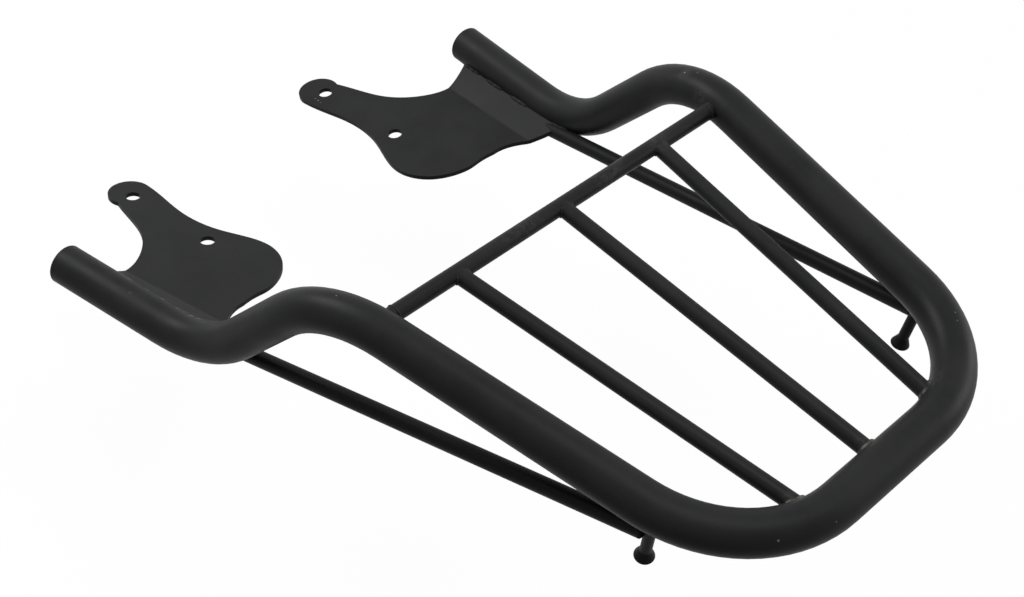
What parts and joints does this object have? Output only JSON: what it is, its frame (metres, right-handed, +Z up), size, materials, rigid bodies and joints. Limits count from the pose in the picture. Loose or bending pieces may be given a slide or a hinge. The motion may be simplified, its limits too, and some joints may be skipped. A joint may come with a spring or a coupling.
{
  "type": "motorcycle luggage rack",
  "caption": "Rear luggage rack for a motorbike: a bent tube loop with deck bars, stays, strap pegs and two drilled mounting plates.",
  "frame": {"origin": "under the middle of the rack's outline, at the height of its lowest point, with the deck level as on the motorbike", "axes": "+Z up with the deck level, +Y to the front of the motorbike, +X to its right-hand side"},
  "size_m": [0.3744, 0.5454, 0.1854],
  "materials": {
    "powder_coated_steel": "satin",
    "cap_plastic": "matte"
  },
  "bodies": {
    "root": {"crossbar": "powder_coated_steel", "crossbar_weld_left": "powder_coated_steel", "crossbar_weld_right": "powder_coated_steel", "deck_bar_centre": "powder_coated_steel", "deck_bar_front_weld_centre": "powder_coated_steel", "deck_bar_front_weld_left": "powder_coated_steel", "deck_bar_front_weld_right": "powder_coated_steel", "deck_bar_left": "powder_coated_steel", "deck_bar_rear_weld_centre": "powder_coated_steel", "deck_bar_rear_weld_left": "powder_coated_steel", "deck_bar_rear_weld_right": "powder_coated_steel", "deck_bar_right": "powder_coated_steel", "end_cap_left": "cap_plastic", "end_cap_right": "cap_plastic", "main_tube": "powder_coated_steel", "mounting_plate_left": "powder_coated_steel", "mounting_plate_right": "powder_coated_steel", "peg_left": "powder_coated_steel", "peg_right": "powder_coated_steel", "peg_weld_left": "powder_coated_steel", "peg_weld_right": "powder_coated_steel", "plate_weld_front_left": "powder_coated_steel", "plate_weld_front_right": "powder_coated_steel", "plate_weld_middle_left": "powder_coated_steel", "plate_weld_middle_right": "powder_coated_steel", "plate_weld_rear_left": "powder_coated_steel", "plate_weld_rear_right": "powder_coated_steel", "stay_front_weld_left": "powder_coated_steel", "stay_front_weld_right": "powder_coated_steel", "stay_left": "powder_coated_steel", "stay_rear_weld_left": "powder_coated_steel", "stay_rear_weld_right": "powder_coated_steel", "stay_right": "powder_coated_steel"}
  },
  "joints": []
}
